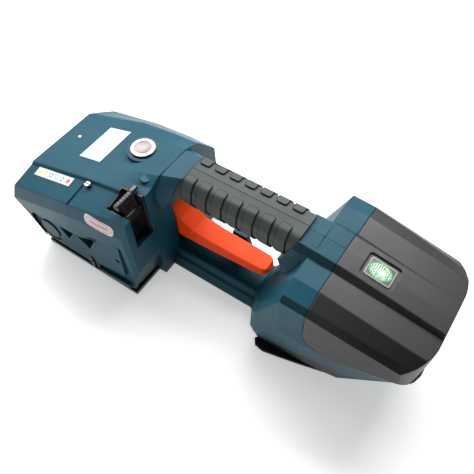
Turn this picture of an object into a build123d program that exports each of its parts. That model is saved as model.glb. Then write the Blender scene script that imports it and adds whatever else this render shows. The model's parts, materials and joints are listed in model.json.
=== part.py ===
"""Battery strapping tool: base plate and head in front, grip above, rear pod with battery.

Working frame in mm: x runs from the battery (rear) to the head (front), y to the strap
side (near, +y; far, -y), z up from the underside. Pieces are saved shifted back by
ORIGIN_X, so the saved origin lies under the middle of the base plate.
"""
from build123d import *
import math
import os

os.makedirs("parts", exist_ok=True)

# ---------------------------------------------------------------- driving dimensions
ORIGIN_X = 287.0
WALL = 2.6                          # moulded shell thickness
SEAM_GAP = 0.35                     # clearance round the battery and the side door
BASE_T = 4.0                        # base plate thickness
BASE_X0, BASE_X1 = 230.3, 344.0
BASE_Y0, BASE_Y1 = -50.0, 71.0
HEAD_X0 = 222.0                     # rear end of the head
CHANNEL_Y0 = 44.0                   # far wall of the strap channel
CHANNEL_TOP = 7.6
DECK_SLOPE = 0.268                  # the deck falls towards the front
DECK_HEIGHT = 183.3                 # deck height carried back to x = 0
BUTTON_X = 256.8                    # start button axis, on y = 0
GRIP_X0, GRIP_X1 = 97.0, 203.0
GRIP_TOP = 125.0
GRIP_AXIS_Z = 107.0                 # wiring bore through the grip
GRIP_END_SLOPE = 0.45
SEAM_X = 66.7                       # joint plane between rear housing and battery
FEED_X, FEED_Z = 300.0, 24.0        # shared axis of feed wheel, gearbox and motor
FEED_R = 16.4
SHAFT_R = 4.0                       # feed, eccentric and rocker shafts
SHAFT_BORE_R = SHAFT_R + 0.06
TRIGGER_X, TRIGGER_Z = 238.0, 46.0  # pivots and cross axes
ROCKER_X, ROCKER_Z = 333.0, 40.0
LEVER_X, LEVER_Z = 231.0, 100.0
ECC_X, ECC_Z = 256.0, 33.0
LENS_X, LENS_Y = 334.7, 4.3
GUIDE_SCREW = (277.6, 49.8)         # x, y
KNOB = (276.6, 18.6)                # x, z
PLATE_SCREWS = [(240.0, -47.0), (330.0, -46.0), (232.0, 26.0), (338.5, 22.0)]  # x, y
FRAME_SCREWS = [(136.0, 9.6), (204.0, 9.6), (86.0, 97.0)]                      # x, z
DOOR_SCREWS = [(341.0, 13.0), (239.0, 52.0)]                                   # x, z


# ---------------------------------------------------------------- solids from bounds
def extrude_loop(loop, direction):
    return Solid.extrude(Face(Wire.make_polygon(loop, close=True)), direction)


def prism_xz(points, y0, y1):
    return extrude_loop([(x, y0, z) for x, z in points], Vector(0, y1 - y0, 0))


def prism_xy(points, z0, z1):
    return extrude_loop([(x, y, z0) for x, y in points], Vector(0, 0, z1 - z0))


def prism_yz(points, x0, x1):
    return extrude_loop([(x0, y, z) for y, z in points], Vector(x1 - x0, 0, 0))


def box(x0, x1, y0, y1, z0, z1):
    return Pos((x0 + x1) / 2, (y0 + y1) / 2, (z0 + z1) / 2) * Box(x1 - x0, y1 - y0, z1 - z0)


def cyl_x(y, z, radius, x0, x1):
    return Pos((x0 + x1) / 2, y, z) * Rot(0, 90, 0) * Cylinder(radius, x1 - x0)


def cyl_y(x, z, radius, y0, y1):
    return Pos(x, (y0 + y1) / 2, z) * Rot(90, 0, 0) * Cylinder(radius, y1 - y0)


def cyl_z(x, y, radius, z0, z1):
    return Pos(x, y, (z0 + z1) / 2) * Cylinder(radius, z1 - z0)


def tube_y(x, z, outer, bore, y0, y1):
    return cyl_y(x, z, outer, y0, y1) - cyl_y(x, z, bore, y0 - 1, y1 + 1)


def tube_z(x, y, outer, bore, z0, z1):
    return cyl_z(x, y, outer, z0, z1) - cyl_z(x, y, bore, z0 - 1, z1 + 1)


def loft_loops(loops):
    """Ruled loft through closed 3-D loops, turned right side out."""
    solid = Solid.make_loft([Wire.make_polygon(p, close=True) for p in loops], ruled=True)
    if solid.volume < 0:
        solid = Solid.make_loft([Wire.make_polygon(p[::-1], close=True) for p in loops],
                                ruled=True)
    return solid


def ruled(sections):
    """Ruled loft through (x, [(y, z), ...]) sections."""
    return loft_loops([[(x, y, z) for y, z in points] for x, points in sections])


def mirror_half(half):
    """Close a half profile (y >= 0, top centre to bottom centre) about y = 0."""
    return half + [(-y, z) for y, z in reversed(half) if y > 1e-6]


def ruled_halves(*sections):
    return ruled([(x, mirror_half(half)) for x, half in sections])


def inset(points, distance):
    """Constant-width inset of a closed polygon with mitred corners."""
    count = len(points)
    area = sum(points[i][0] * points[(i + 1) % count][1]
               - points[(i + 1) % count][0] * points[i][1] for i in range(count))
    turn = 1.0 if area > 0 else -1.0

    def normal(start, end):
        dx, dy = end[0] - start[0], end[1] - start[1]
        length = math.hypot(dx, dy)
        return -turn * dy / length, turn * dx / length

    result = []
    for i, corner in enumerate(points):
        n1 = normal(points[i - 1], corner)
        n2 = normal(corner, points[(i + 1) % count])
        mitre = max(1.0 + n1[0] * n2[0] + n1[1] * n2[1], 0.35)
        result.append((corner[0] + distance * (n1[0] + n2[0]) / mitre,
                       corner[1] + distance * (n1[1] + n2[1]) / mitre))
    return result


# ---------------------------------------------------------------- rounding
def soften(shape, radii, pick):
    """Fillet the picked edges as one group with the first radius that works."""
    for radius in radii:
        edges = pick(shape)
        if not edges:
            return shape
        # The kernel may refuse a radius; the next smaller one is then tried.
        try:
            rounded = fillet(edges, radius)
            if rounded.is_valid and len(rounded.solids()) == len(shape.solids()):
                return rounded
        except Exception:
            continue
    return shape


def edges_along_y(shape):
    return shape.edges().filter_by(Axis.Y)


def edges_on_line(shape, line, tolerance=0.6):
    """Edges whose two ends and middle lie on a 3-D polyline."""
    segments = [(Vector(*a), Vector(*b)) for a, b in zip(line, line[1:])]

    def near(point):
        for a, b in segments:
            along = b - a
            t = max(-0.02, min(1.02, (point - a).dot(along) / along.dot(along)))
            if (a + along * t - point).length < tolerance:
                return True
        return False
    return [e for e in shape.edges()
            if e.length > 1.0 and near(e @ 0) and near(e @ 1) and near(e @ 0.5)]


def round_lines(shape, lines):
    """Fillet along each (polyline, [radii to try]) in turn."""
    for line, radii in lines:
        edges = edges_on_line(shape, line)
        for radius in radii:
            if not edges:
                break
            # The kernel may refuse a radius; a line that never works stays sharp.
            try:
                rounded = fillet(edges, radius)
            except Exception:
                continue
            if rounded.is_valid and abs(rounded.volume - shape.volume) < 0.05 * shape.volume:
                shape = rounded
                break
    return shape


def profile_line(sections, k, side=1):
    """Polyline through point k of every section."""
    return [(x, side * points[k][0], points[k][1]) for x, points in sections]


# ---------------------------------------------------------------- saving
PIECES = []


def piece(build):
    """Register a builder; its name is the file name."""
    PIECES.append(build)
    return build


def solids_of(shape):
    if isinstance(shape, (list, tuple)):
        return [solid for item in shape for solid in solids_of(item)]
    return [solid for solid in shape.solids() if solid.volume > 0.5]


def save(name, shape):
    moved = [Pos(-ORIGIN_X, 0, 0) * solid for solid in solids_of(shape)]
    out = moved[0] if len(moved) == 1 else Compound(children=moved)
    export_step(out, f"parts/{name}.step")


# ================================================================ shared forms
def deck_z(x):
    return DECK_HEIGHT - DECK_SLOPE * x


def beyond_grip_end(x0, rear):
    """Everything behind (or ahead of) the sloping end line of the grip."""
    far = -100.0 if rear else 400.0
    up, down = 15, 60
    return prism_xz([(x0 - GRIP_END_SLOPE * up, GRIP_TOP + up),
                     (x0 + GRIP_END_SLOPE * down, GRIP_TOP - down),
                     (far, GRIP_TOP - down), (far, GRIP_TOP + up)], -60, 60)


# Head sections: x, then (y, z) from the far bottom over the deck to the near bottom
HOOD = [
    (HEAD_X0, [(-49, BASE_T), (-53, 60), (-52, 93), (-31, 116.5), (-14, 123.2), (20.5, 123.2),
               (31, 117.8), (44, 116.0), (45, 113.0), (66, 107.0), (71, 92.0), (70.5, 50),
               (70.0, BASE_T)]),
    (250.0, [(-50, BASE_T), (-54, 58), (-53, 92), (-32, 113.0), (-16, 116.3), (24, 116.3),
             (35, 114.6), (44.6, 113.0), (45.5, 110.4), (69, 104.0), (73.5, 90.0), (72.5, 50),
             (71.0, BASE_T)]),
    (288.0, [(-50, BASE_T), (-54, 55), (-53, 89), (-33, 105.9), (-17.5, 106.1), (28, 106.1),
             (38, 106.0), (45.6, 105.9), (46.4, 103.4), (70.5, 97.0), (74.5, 84.0), (73.0, 48),
             (71.0, BASE_T)]),
    (366.0, [(-46, BASE_T), (-51, 50), (-51, 76), (-28, 85.2), (-15, 85.2), (20, 85.2),
             (36, 85.2), (47.6, 85.2), (48.4, 82.6), (72.0, 75.6), (76.0, 62.0), (73.5, 40),
             (71.0, BASE_T)]),
]
HOOD_INNER_POINTS = [0, 1, 2, 3, 5, 6, 8, 9, 10, 11, 12]  # points the cavity follows
# Lengthwise edges to round: point index, radii to try
HOOD_ROUNDS = [(8, [2, 1.2]), (7, [1.4, 1.0, 0.7]), (10, [3.5]), (2, [7, 5, 3]),
               (3, [7, 5, 3]), (6, [6, 3]), (5, [6, 3, 2]), (4, [6, 3, 2])]
# Spine joining the grip to the deck, sections as above
SPINE = [
    (GRIP_X1, [(-17, 91.5), (-19, 95), (-20, 106), (-18.5, 117), (-13.5, 124.2), (0, GRIP_TOP),
               (13.5, 124.2), (18.5, 117), (20, 106), (19, 95), (17, 91.5)]),
    (226.0, [(-22, 84), (-25, 90), (-26, 106), (-23, 116), (-14, 122.0), (3, 122.4),
             (20, 122.0), (27, 116), (31, 106), (29, 90), (26, 84)]),
]


def front_cuts(shape, back=0.0):
    """Sloping nose, chamfered chin and trimmed far corner, set back for the cavity."""
    shape = shape - prism_xz([(355.0 - back, 120), (355.0 - back, 88.3), (361.5 - back, 60.0),
                              (344.0 - back, 0.0), (344.0 - back, -10), (420, -10),
                              (420, 120)], -90, 90)
    return shape - prism_xy([(353.6 - back, -28.5), (338.0 - back, -60.0), (420, -60.0),
                             (420, -28.5)], -5, 140)


def make_head_form():
    form = ruled(HOOD)
    form = round_lines(form, [(profile_line(HOOD, k), radii) for k, radii in HOOD_ROUNDS])
    form = front_cuts(form)
    form = round_lines(form, [
        ([(354.4, -27, 88.4), (355.0, 0, 88.3), (355.0, 46, 88.3)], [3, 2, 1]),
        ([(361.5, -60, 60), (361.5, 80, 60)], [6, 4, 2])])
    return form + (ruled(SPINE) - beyond_grip_end(GRIP_X1, True))


HEAD_FORM = make_head_form()

# Rear pod sections: x, then (half width, z) from the top ledge down to the bottom
POD_TABLE = [
    (117.0, [(15.0, 62.0), (19.5, 60.5), (32.0, 60.0), (42.0, 56.0), (48.0, 50.0),
             (50.5, 28.0), (45.5, 8.0)]),
    (111.0, [(15.0, 71.0), (19.5, 69.0), (33.0, 69.0), (44.0, 64.0), (51.5, 58.0),
             (53.5, 30.0), (46.5, 2.4)]),
    (87.0, [(15.0, 117.5), (20.0, 116.0), (38.8, 116.0), (53.3, 112.4), (57.4, 108.0),
            (56.2, 62.0), (46.0, 2.2)]),
    (SEAM_X, [(14.8, 119.0), (19.8, 114.8), (38.8, 114.8), (53.0, 111.0), (57.2, 106.6),
              (56.2, 60.0), (45.0, 2.2)]),
    (37.0, [(14.8, 113.4), (19.0, 109.2), (38.4, 109.3), (51.4, 105.5), (56.0, 101.4),
            (55.0, 62.0), (41.0, 2.2)]),
    (-5.0, [(15.2, 105.4), (17.4, 101.4), (37.8, 101.4), (48.0, 97.4), (53.6, 94.2),
            (51.5, 74.0), (41.0, 52.0)]),
    (-20.0, [(15.4, 102.6), (16.6, 98.6), (37.2, 98.6), (46.0, 94.4), (51.6, 92.0),
             (48.5, 78.0), (38.0, 68.0)]),
]
POD_CROWN = 0.4   # rise of the top centre line
POD = [(x, mirror_half([(0.0, half[0][1] + POD_CROWN)] + half + [(0.0, half[-1][1])]))
       for x, half in POD_TABLE]
POD_ROUNDS = [(profile_line(POD, k, side), radii) for side in (1, -1)
              for k, radii in ((1, [1.6, 1.0]), (3, [3.0, 2.0]), (4, [2.0, 1.2]),
                               (5, [3.0, 2.0]))]


def pod_plan(margin):
    """Plan envelope of the pod with round corners, drawn in by a margin at each end."""
    block = Pos(60, 0, 60) * Box(160.0 - 2 * margin, 130.0, 200.0)
    return Pos(0.4, 0, 0) * fillet(block.edges().filter_by(Axis.Z), 44.0)


def behind_stern(x_top, x_knee, x_low):
    return prism_xz([(x_top, 110), (x_knee, 96), (x_low, 66.0), (-40, 66), (-40, 110)], -90, 90)


POD_RAW = (ruled(POD) & pod_plan(0.0)) - behind_stern(-19.0, -19.6, -13.0)
POD_INNER = ruled([(max(x, -17.4), inset(points, WALL)) for x, points in POD[1:]])
POD_INNER = (POD_INNER & pod_plan(WALL)) - behind_stern(-16.4, -17.0, -10.2)
POD_INNER = POD_INNER & box(-60, 108.2, -90, 90, -10, 200)

# Joint under the battery (x, z), from the seam plane rearwards
CRADLE = [(SEAM_X, 75.0), (65.0, 70.5), (61.5, 66.3), (55.0, 62.2), (45.0, 59.9),
          (33.0, 59.0), (21.5, 59.0), (8.0, 60.6), (-5.0, 62.9), (-40.0, 69.0)]


def battery_region(shrink):
    """Space behind the seam plane and above the cradle, drawn in by shrink."""
    points = [(SEAM_X - shrink, 150.0), (SEAM_X - shrink, CRADLE[0][1])]
    for i in range(1, len(CRADLE)):
        x, z = CRADLE[i]
        before = CRADLE[i - 1]
        after = CRADLE[min(i + 1, len(CRADLE) - 1)]
        dx, dz = after[0] - before[0], after[1] - before[1]
        length = math.hypot(dx, dz)
        points.append((x + dz / length * shrink, z - dx / length * shrink))
    points.append((-60.0, 150.0))
    return prism_xz(points, -80, 80)


BATTERY_SPACE = battery_region(SEAM_GAP)
BATTERY_CAVITY = POD_INNER & BATTERY_SPACE

# Side door outline (x, z), from the bottom rear corner
DOOR = [(230.6, CHANNEL_TOP), (344.6, CHANNEL_TOP), (352.0, 30.0), (350.5, 43.0),
        (345.0, 48.5), (312.7, 52.6), (291.0, 55.5), (279.0, 57.6), (270.0, 64.6),
        (262.0, 68.6), (232.5, 75.0), (230.6, 74.0)]
LEVER_POCKET = [(210, 73), (231, 70), (247, 100), (247, 135), (210, 135)]  # x, z
LEVER_Y0, LEVER_Y1 = 39.5, 60.5     # pocket opening in the hood
# Cutters for the near lower edge and the near rear corner of the head
LOW_TRIM = prism_yz([(66.5, 3), (68.2, 4), (70.9, 10), (90, 10), (90, 3)], 200, 400)
CORNER_TRIM = prism_xy([(218, 64.0), (232.5, 76.5), (205, 90)], 2, 130)


# ================================================================ head hood
BUTTON_RIM_R = 14.6
BUTTON_RIM_TOP = 117.0


def hood_cavity():
    cavity = ruled([(x if x > 230 else HEAD_X0 + WALL,
                     inset([points[i] for i in HOOD_INNER_POINTS], WALL))
                    for x, points in HOOD])
    cavity = cavity + box(HEAD_X0 + WALL, 350, -47.0, 67.5, -5, 20)
    cavity = front_cuts(cavity, 2.8)
    return cavity - prism_xz([(200, -12), (235.4, -12), (234.2, 8), (224.6, 42), (200, 42)],
                             35.2, 90)


def guide_groove():
    """Groove across the near deck panel, 1.7 deep."""
    def floor(x, y):
        return 193.5 - DECK_SLOPE * x - 0.27 * y - 1.7

    # One row per end: front x and y, rear x and y
    return loft_loops([[(xf, yf, floor(xf, yf)), (xr, yr, floor(xr, yr)),
                        (xr, yr, 125), (xf, yf, 125)]
                       for xf, yf, xr, yr in ((283.6, 46.6, 272.4, 46.8),
                                              (286.0, 78.0, 274.6, 78.0))])


@piece
def head_hood():
    shell = (HEAD_FORM + cyl_z(BUTTON_X, 0, BUTTON_RIM_R, 100, BUTTON_RIM_TOP)
             - cyl_z(BUTTON_X, 0, 12.4, BUTTON_RIM_TOP, 130.0))
    rim = [(BUTTON_X + BUTTON_RIM_R * math.cos(a * 0.05), BUTTON_RIM_R * math.sin(a * 0.05),
            BUTTON_RIM_TOP) for a in range(127)]
    shell = round_lines(shell, [(rim, [1.2, 0.8])])
    shell = (shell - hood_cavity()
             - box(200, 400, -80, 90, -10, BASE_T)
             # near rear wall leans in towards the base plate
             - prism_xz([(200, 3), (232.6, 3), (231.4, 8), (221.6, 42), (200, 42)], 38.0, 90)
             - LOW_TRIM
             - prism_xz(DOOR, 62.0, 90.0)
             # strap channel, open in front, behind and on the near side
             - box(215, 370, CHANNEL_Y0, 90, 0, CHANNEL_TOP)
             - CORNER_TRIM
             - prism_xz(LEVER_POCKET, LEVER_Y0, LEVER_Y1)
             # trigger opening and wiring hole in the rear wall
             - box(215, 226, -12.0, 12.0, 20.0, 78.0)
             - cyl_x(0, GRIP_AXIS_Z, 7.0, 195, 240)
             - cyl_z(BUTTON_X, 0, 7.6, 90, 130)
             - guide_groove()
             - cyl_z(*GUIDE_SCREW, 1.6, 90, 130)
             - cyl_z(LENS_X, LENS_Y, 1.7, 80, 110))
    for x, y in PLATE_SCREWS:
        top = deck_z(x) - 1.5 if y > 0 else 60.0
        shell = shell + (cyl_z(x, y, 4.4, BASE_T, top) - cyl_z(x, y, 1.65, 0, 26))
    # bore again, through any shell wall the bosses run into
    for x, y in PLATE_SCREWS:
        shell = shell - cyl_z(x, y, 1.65, 0, 26)
    return shell


# ================================================================ handle frame
FRAME_BOTTOM = 0.8
# Half profiles (y, z), top centre to bottom centre
CORE_HALF = [(0, 121.6), (11.4, 121.0), (15.4, 114), (15.8, 107), (9.8, 98.4), (0, 97.2)]
BAR_HALF = [(0, 18.6), (15.4, 18.2), (17.0, 16.6), (18.6, 11.6), (21.0, 10.6), (24.6, 3.0),
            (24.4, FRAME_BOTTOM), (0, FRAME_BOTTOM)]
# Solid left under and ahead of the battery (x, z)
SHELF = [(SEAM_X + 3.0, 150), (SEAM_X + 3.0, 73.5), (63.5, 63.2), (56.0, 59.2), (45.0, 57.0),
         (33.0, 56.1), (21.5, 56.1), (8.0, 57.8), (-5.0, 60.2), (-60.0, 69.0), (-60, 150)]


def make_frame():
    """Rear housing, grip core and lower bar in one, before splitting at y = 0."""
    core = (ruled_halves((84.0, CORE_HALF), (HEAD_X0, CORE_HALF))
            - beyond_grip_end(GRIP_X1, False))
    neck = ruled_halves(
        (122.0, [(0, 123.9), (14.0, 123.1), (18.6, 116.4), (19.2, 105), (16.2, 92.5),
                 (0, 91.2)]),
        (SEAM_X + 10, [(0, 120.6), (14.9, 120.2), (19.8, 115.6), (20.0, 104), (19.0, 84),
                       (0, 80)]),
        (SEAM_X, [(0, 119.3), (14.8, 119.0), (19.8, 114.8), (20.0, 104), (19.0, 84),
                  (0, 80)]))
    neck = neck & beyond_grip_end(GRIP_X0, True)
    web = ruled_halves(
        (118.0, [(0, 93.5), (13.0, 93), (15.0, 91), (12.0, 89.0), (0, 88.5)]),
        (88.0, [(0, 110), (22.0, 108), (30.0, 90), (34.0, 66.0), (0, 60.0)]))
    web = web & beyond_grip_end(GRIP_X0, True)
    bar = ruled_halves((100.0, BAR_HALF), (HEAD_X0, BAR_HALF))
    bar_root = ruled_halves(
        (134.0, BAR_HALF[:4] + BAR_HALF[5:]),
        (112.0, [(0, 46), (20.0, 44), (30.0, 36.0), (36.0, 24.6), (42.0, 8.0), (40.0, 1.6),
                 (0, 1.6)]))
    housing = round_lines(POD_RAW, POD_ROUNDS) - battery_region(0.0)
    far_rib = prism_xz([(154, 16), (181, 16), (177, 45), (162, 45)], -17.0, -12.6)
    frame = (housing + neck + web + bar + bar_root + core + far_rib
             - (POD_INNER - prism_xz(SHELF, -90, 90))
             - box(54.0, 74.0, -19.5, 19.5, 62.6, 86.0)       # terminal opening
             - box(118, 219, -12.6, 12.6, 3.4, 15.8))         # hollow in the lower bar
    for x, z in FRAME_SCREWS[:2]:
        frame = frame + cyl_y(x, z, 4.2, -14, 14)
    frame = (frame - cyl_x(0, GRIP_AXIS_Z, 6.0, 60, 230)
             - box(-90, 400, -90, 90, -20, FRAME_BOTTOM))
    for x, z in FRAME_SCREWS:
        frame = frame - cyl_y(x, z, 1.6, -40, 12.0) - cyl_y(x, z, 3.1, -60, -12.0)
    return frame


FRAME = make_frame()


@piece
def frame_near():
    return FRAME & box(-90, 400, 0, 90, -10, 200)


@piece
def frame_far():
    return FRAME & box(-90, 400, -90, 0, -10, 200)


# ---------------------------------------------------------------- grip rubber
# Half profiles (y, z) of the sleeve at its two ends
SLEEVE_ENDS = [
    (84.0, [(0, 124.7), (12.6, 123.9), (17.2, 117.0), (18.4, 107.0), (12.8, 95.8), (0, 93.8)]),
    (HEAD_X0, [(0, 125.0), (13.4, 124.2), (18.4, 117.2), (19.4, 107.0), (13.6, 95.4),
               (0, 93.4)]),
]
PAD_COUNT, PAD_PITCH, PAD_LENGTH = 7, 14.3, 9.6
PAD_START = 14.5      # first pad centre from GRIP_X0
PAD_HEIGHT = 1.25


def sleeve_form(raise_by):
    return ruled([(x, inset(mirror_half(half), -raise_by)) for x, half in SLEEVE_ENDS])


@piece
def grip_rubber():
    sleeve = round_lines(sleeve_form(0), [
        (profile_line(SLEEVE_ENDS, k, side), radii)
        for k, radii in ((1, [5, 3]), (2, [6, 4]), (3, [8, 5]), (4, [5, 3]))
        for side in (1, -1)])
    raised = round_lines(sleeve_form(PAD_HEIGHT), [
        ([(84.0, side * 13.2, 125.1), (HEAD_X0, side * 14.0, 125.4)], [4, 3])
        for side in (1, -1)])
    for i in range(PAD_COUNT):
        for side in (1, -1):
            x = GRIP_X0 + PAD_START + PAD_PITCH * i
            pad = Pos(x, side * 18.0, 112.0) * Box(PAD_LENGTH, 22.0, 44.0)
            sleeve = sleeve + (raised & fillet(pad.edges().filter_by(Axis.Z), 2.2))
    sleeve = (sleeve - beyond_grip_end(GRIP_X0, True) - beyond_grip_end(GRIP_X1, False)
              - ruled_halves((60.0, CORE_HALF), (240.0, CORE_HALF))
              - box(80, 230, -0.22, 0.22, 124.3, 130))        # centre line groove
    return sleeve & box(-90, 400, -90, 90, 90.6, 200)


# ================================================================ battery pack
TERMINAL_Y = (-8.0, 8.0)
TERMINAL_Z = 73.0
TERMINAL_X = 81.0          # bottom of the contact holes
BADGE_FLOOR = -1.3         # recess floor below the reference top plane
LATCH_X, LATCH_Z = 26.0, 79.0


def top_slab(low, high):
    """Slab parallel to the sloping top of the pack."""
    x0, x1 = 20.0, 60.0
    z0, z1 = (106.5 + 0.19 * x for x in (x0, x1))
    return prism_xz([(x0, z0 + low), (x1, z1 + low), (x1, z1 + high), (x0, z0 + high)],
                    -16.0, 16.0)


def plan_block(x0, x1, y0, y1, radius):
    return fillet(box(x0, x1, y0, y1, 0.0, 160.0).edges().filter_by(Axis.Z), radius)


@piece
def battery_hood():
    shell = round_lines(POD_RAW & BATTERY_SPACE, POD_ROUNDS) - BATTERY_CAVITY
    recess = top_slab(BADGE_FLOOR, 6.0) & plan_block(25.6, 51.0, -10.6, 10.2, 2.5)
    return shell - recess - box(18.0, 34.0, -70, -40, 74.0, 84.0)    # latch opening


@piece
def battery_badge():
    return top_slab(BADGE_FLOOR, -0.8) & plan_block(27.4, 49.2, -8.8, 8.4, 3.0)


@piece
def battery_tray():
    return (BATTERY_CAVITY - battery_region(SEAM_GAP + WALL)
            + box(21.0, 31.0, -35.9, -34.2, 61.0, 84.0))


@piece
def terminal_block():
    block = box(SEAM_X - SEAM_GAP, 83.0, -16.5, 16.5, 66.0, 80.0)
    block = fillet(block.edges().filter_by(Axis.X), 1.5)
    for y in TERMINAL_Y:
        block = block - cyl_x(y, TERMINAL_Z, 3.3, TERMINAL_X, 90)
    return block


@piece
def battery_contacts():
    return [cyl_x(y, TERMINAL_Z, 3.2, TERMINAL_X, 83.6) for y in TERMINAL_Y]


@piece
def cells():
    # x and lift of each column
    return [cyl_y(x, z + lift, 9.1, -32.4, 31.6) + cyl_y(x, z + lift, 3.0, 31.6, 32.6)
            for x, lift in ((10.0, 0.0), (28.8, 0.0), (47.6, 1.2)) for z in (73.0, 91.7)]


@piece
def cell_links():
    return [box(3.0, 55.0, y - 0.25, y + 0.25, 68.0, 95.0) for y in (33.0, -33.0)]


@piece
def pack_board():
    return (box(-6.2, -4.6, -26, 26, 72.0, 94.0) + box(-4.6, -2.6, -18, -8, 76.0, 90.0)
            + box(-4.6, -3.2, 2, 20, 76, 90))


@piece
def battery_latch():
    """Push button on the far side, with an inner flange."""
    return box(18.4, 33.6, -57.2, -48.0, 74.4, 83.6) + box(17.0, 35.0, -49.6, -47.2, 72.4, 85.6)


@piece
def latch_spring():
    return tube_y(LATCH_X, LATCH_Z, 3.2, 2.4, -47.1, -36.0)


# ================================================================ rear housing internals
BOARD_X0, BOARD_X1 = 72.0, 73.6    # rear and front faces of the housing board
SOCKET_X = 85.6


@piece
def battery_socket():
    return box(SOCKET_X, 97.0, -19.0, 19.0, 63.0, 82.0) + box(90.0, 96.0, -12.0, 12.0, 56.0, 63.0)


@piece
def socket_pins():
    return [cyl_x(y, TERMINAL_Z, 2.6, 84.2, SOCKET_X) for y in TERMINAL_Y]


@piece
def board_parts():
    return [box(BOARD_X1, 84.0, -28.0, -14.0, 18.0, 40.0),
            box(BOARD_X1, 80.0, -6.0, 10.0, 22.0, 30.0),
            cyl_x(22.0, 24.0, 6.0, BOARD_X1, 88.0), cyl_x(22.0, 40.0, 6.0, BOARD_X1, 88.0)]


@piece
def circuit_boards():
    head_board = (box(242.0, 280.0, -36.0, -34.4, 30.0, 84.0)
                  + box(248.0, 264.0, -34.4, -28.0, 40.0, 56.0))
    return [box(BOARD_X0, BOARD_X1, -34.0, 34.0, 12.0, 58.0), head_board]


@piece
def board_mounts():
    return [box(BOARD_X1, 104.0, -3.0, 3.0, 32.0, 36.0),
            box(69.8, BOARD_X0, -3.0, 3.0, 20.0, 50.0),
            box(256.0, 264.0, -50.4, -36.0, 60.0, 66.0)]


@piece
def wiring_loom():
    return cyl_x(0, GRIP_AXIS_Z, 3.4, 72.0, 246.0)


@piece
def rear_feet():
    outline = [(30.0, 36.4), (50.0, 42.4), (68.6, 47.2), (86.0, 51.2), (102.0, 54.6),
               (110.5, 53.0), (114.0, 48.0), (106.0, 38.0), (80.0, 36.0), (44.0, 33.0)]
    return [prism_xy([(x, side * y) for x, y in outline], 0.0, 2.15) for side in (1, -1)]


# ================================================================ base plate and inserts
INSERT_Y = (46.5, 66.5)
GRIPPER_X = (289.5, 312.5)
ANVIL_X = (245.5, 266.5)
INSERT_GAP = 0.1
INSERT_FLOOR = 2.6
TOOTH_PITCH, TOOTH_COUNT = 2.0, 11


@piece
def base_plate():
    plate = prism_xy([(BASE_X1, BASE_Y1), (BASE_X0, BASE_Y1), (BASE_X0, 37.4), (222.4, 37.0),
                      (222.4, -37.0), (BASE_X0, -37.4), (BASE_X0, BASE_Y0),
                      (BASE_X1, BASE_Y0)], 0, BASE_T)
    for x, y in PLATE_SCREWS:
        plate = plate - cyl_z(x, y, 1.7, -1, 10) - Pos(x, y, 0.9) * Cone(3.3, 1.7, 1.8)
    for x0, x1 in (GRIPPER_X, ANVIL_X):
        plate = plate - box(x0 - INSERT_GAP, x1 + INSERT_GAP, INSERT_Y[0] - INSERT_GAP,
                            INSERT_Y[1] + INSERT_GAP, INSERT_FLOOR, 10)
    return plate


@piece
def base_screws():
    return [cyl_z(x, y, 1.55, 1.4, 24) + Pos(x, y, 0.9) * Cone(3.1, 1.55, 1.5)
            for x, y in PLATE_SCREWS]


@piece
def gripper_plate():
    plate = box(*GRIPPER_X, *INSERT_Y, INSERT_FLOOR, 5.4)
    for i in range(TOOTH_COUNT):
        x = GRIPPER_X[0] + 1.0 + TOOTH_PITCH * i
        plate = plate - prism_xz([(x, 5.5), (x + TOOTH_PITCH / 2, 4.9), (x + TOOTH_PITCH, 5.5)],
                                 46, 67)
    return plate


@piece
def weld_anvil():
    return box(*ANVIL_X, *INSERT_Y, INSERT_FLOOR, 5.0)


@piece
def chin_guard():
    guard = prism_xz([(361.1, 58.3), (344.45, 1.2), (346.5, 0.6), (363.2, 57.8)], -27.5, 69.0)
    return guard - box(330, 380, CHANNEL_Y0, 90, 0, 8.0)


# ================================================================ side door
DOOR_WINDOWS = [[(313.0, 49.6), (293.0, 50.8), (304.8, 35.4)],      # x, z
                [(289.6, 50.0), (263.2, 63.4), (275.6, 41.6)]]
DIMPLE = (334.0, 27.0)    # round recess at the front end, x, z
DOOR_SEAT_Y = 70.0        # screw head seats


def upper_outer_edges(shape):
    return [e for e in shape.edges()
            if e.center().Y > 68 and abs(e.center().Y - 69.6) < 1.5
            and e.length > 8 and e.center().Z > 40]


@piece
def strap_door():
    door = prism_xz(inset(DOOR, SEAM_GAP), 66.0, 72.4)
    # outer face leans outward towards the base
    door = door & prism_yz([(60, 0), (71.0, 0), (70.8, 8), (69.3, 62), (68.5, 90), (60, 90)],
                           200, 400)
    door = soften(door, [1.2, 0.8, 0.5], upper_outer_edges)
    panel = prism_xz([(262.2, 65.8), (236.0, 71.4), (234.2, 33.0), (270.6, 25.6),
                      (278.4, 40.0)], 68.0, 76.0)
    panel = panel & prism_yz([(60, 0), (76.3, 0), (70.3, 75.0), (60, 75.0)], 200, 400)
    lip = prism_xz([(280.5, 8.4), (284.0, 11.6), (272.0, 15.0), (233.0, 18.4),
                    (231.4, 14.6)], 68.0, 74.2)
    door = door + panel + lip
    for window in DOOR_WINDOWS:
        rim = prism_xz(inset(window, -1.8), 67.0, 72.1)
        door = door + soften(rim, [1.6, 1.0], edges_along_y)
    door = (door - LOW_TRIM
            - cyl_y(*DIMPLE, 15.0, 69.4, 80.0) + cyl_y(*DIMPLE, 11.5, 66.5, 70.9))
    for window in DOOR_WINDOWS:
        door = door - soften(prism_xz(window, 60.0, 80.0), [1.3, 0.8], edges_along_y)
    door = door - cyl_y(*KNOB, 6.7, 69.0, 80) - cyl_y(*KNOB, 2.55, 60, 80)
    for x, z in DOOR_SCREWS:
        door = door - cyl_y(x, z, 1.6, 60, 80) - cyl_y(x, z, 3.1, DOOR_SEAT_Y, 80)
    return door


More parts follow.
